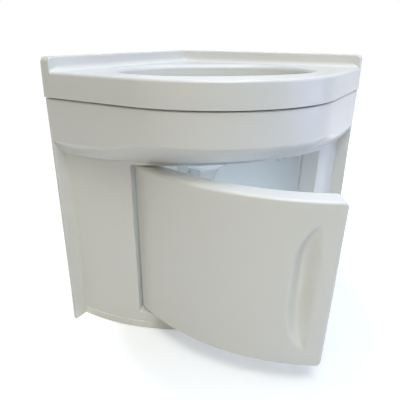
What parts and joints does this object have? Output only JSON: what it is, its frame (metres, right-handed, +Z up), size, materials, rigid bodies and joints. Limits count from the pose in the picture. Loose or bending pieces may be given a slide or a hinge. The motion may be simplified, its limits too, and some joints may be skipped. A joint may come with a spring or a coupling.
{
  "type": "corner vanity unit",
  "caption": "Corner washstand for a small washroom: moulded top with bowl and upstands on a bow-fronted cabinet with a curved, hinged door.",
  "frame": {"origin": "back corner of the unit, where its two wall faces meet, on the floor", "axes": "+Z up; -Y out of the corner towards the user; +X to the right along the front; the walls run along (-1,-1) and (1,-1)"},
  "size_m": [0.5656, 0.5481, 0.494],
  "materials": {
    "white_moulding": "glossy white moulded plastic",
    "timber": "planed softwood",
    "steel": "zinc plated",
    "nylon": "natural nylon",
    "rubber": "matte black",
    "chrome": "polished chrome",
    "magnet": "dark, dull"
  },
  "bodies": {
    "cabinet": {"basin_top": "white_moulding", "apron": "white_moulding", "lower_front": "white_moulding", "left_side_panel": "white_moulding", "right_side_panel": "white_moulding", "corner_post": "timber", "cupboard_floor": "white_moulding", "left_floor_batten": "timber", "right_floor_batten": "timber", "top_screws": "steel", "front_screws": "steel", "post_screws": "steel", "floor_screws": "steel", "upper_hinge_bush": "nylon", "lower_hinge_bush": "nylon", "catch_case": "nylon", "catch_magnet": "magnet", "catch_screws": "steel", "waste_body": "chrome", "waste_upper_seal": "rubber", "waste_lower_seal": "rubber", "waste_backnut": "nylon"},
    "door": {"door_skin": "white_moulding", "door_back": "white_moulding", "upper_hinge_block": "nylon", "lower_hinge_block": "nylon", "upper_hinge_pin": "steel", "lower_hinge_pin": "steel", "catch_strike": "steel", "strike_rivets": "steel"}
  },
  "joints": [
    {"name": "door_hinge", "type": "hinge", "parent": "cabinet", "child": "door", "pos_m": [-0.13221, -0.33748, 0.18], "axis": [0.007, 0.0179, -0.9998], "range_deg": [-43, 72]}
  ]
}
